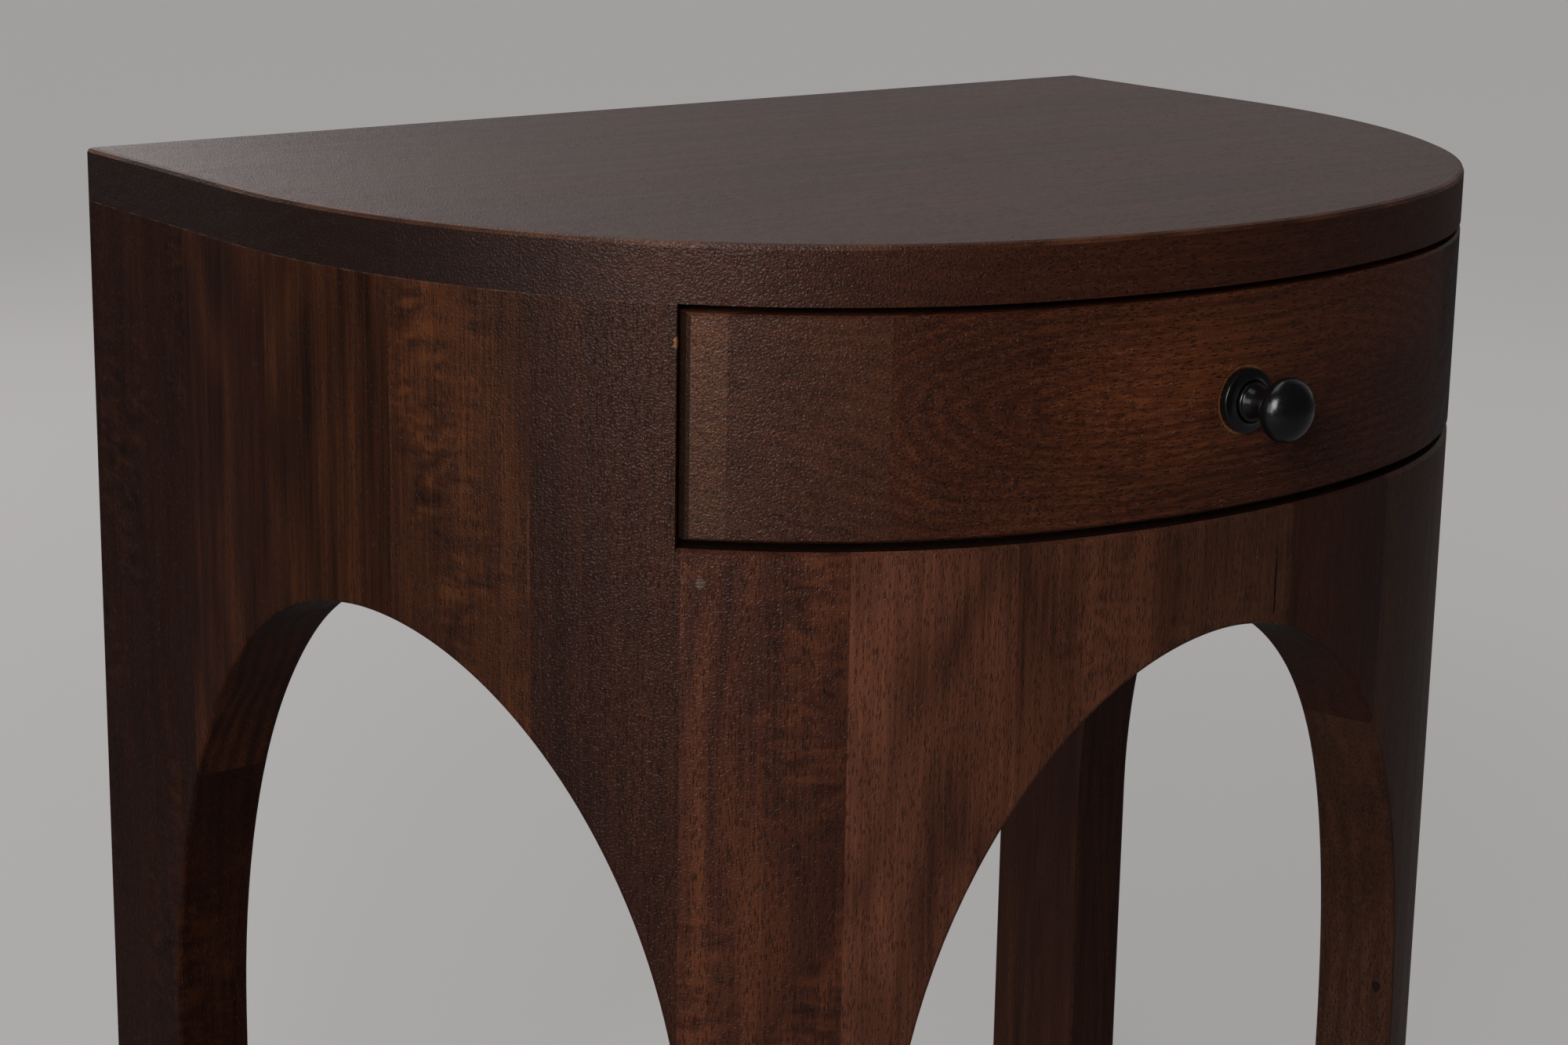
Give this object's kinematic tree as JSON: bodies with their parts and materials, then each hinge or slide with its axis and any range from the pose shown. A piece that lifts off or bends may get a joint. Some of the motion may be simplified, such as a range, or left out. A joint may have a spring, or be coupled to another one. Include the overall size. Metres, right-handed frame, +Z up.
{
  "type": "demilune side table",
  "caption": "Half-round side table with a straight back, a coopered wall cut by arches into legs, and a bow-front drawer with a round knob.",
  "frame": {"origin": "on the floor, under the centre of the overall box, knob included", "axes": "+Z up, +X to the right seen from the front, +Y towards the straight back that stands against a wall"},
  "size_m": [0.559, 0.4366, 0.61],
  "materials": {
    "stained_wall": "dark brown stain under satin lacquer, open pores",
    "stained_top": "dark brown stain under satin lacquer, open pores",
    "stained_drawer_front": "dark brown stain under satin lacquer, open pores",
    "stained_rail": "dark brown stain, thin lacquer",
    "plain_wood": "planed bare hardwood",
    "drawer_panel": "sanded plywood",
    "black_metal": "satin black coating",
    "screw_steel": "zinc plated",
    "glide_plastic": "moulded nylon"
  },
  "bodies": {
    "carcass": {"back_rail": "stained_rail", "foot_glides": "glide_plastic", "guide_left": "plain_wood", "guide_right": "plain_wood", "kicker_left": "plain_wood", "kicker_right": "plain_wood", "runner_left": "plain_wood", "runner_right": "plain_wood", "stave_front_centre": "stained_wall", "stave_left_1": "stained_wall", "stave_left_2": "stained_wall", "stave_left_3": "stained_wall", "stave_left_4": "stained_wall", "stave_left_5": "stained_wall", "stave_left_6": "stained_wall", "stave_left_7": "stained_wall", "stave_left_8": "stained_wall", "stave_right_1": "stained_wall", "stave_right_2": "stained_wall", "stave_right_3": "stained_wall", "stave_right_4": "stained_wall", "stave_right_5": "stained_wall", "stave_right_6": "stained_wall", "stave_right_7": "stained_wall", "stave_right_8": "stained_wall", "stop_block_left": "plain_wood", "stop_block_right": "plain_wood", "top_board_back": "stained_top", "top_board_front": "stained_top", "top_board_middle_back": "stained_top", "top_board_middle_front": "stained_top", "top_dowels": "plain_wood"},
    "drawer": {"drawer_back": "plain_wood", "drawer_bottom": "drawer_panel", "drawer_front_centre": "stained_drawer_front", "drawer_front_left_end": "stained_drawer_front", "drawer_front_left_middle": "stained_drawer_front", "drawer_front_right_end": "stained_drawer_front", "drawer_front_right_middle": "stained_drawer_front", "drawer_side_left": "plain_wood", "drawer_side_right": "plain_wood", "knob": "black_metal", "knob_backplate": "black_metal", "knob_screw": "screw_steel"}
  },
  "joints": [
    {"name": "drawer_slide", "type": "slide", "parent": "carcass", "child": "drawer", "axis": [0, -1, 0], "range_m": [0, 0.18]}
  ]
}
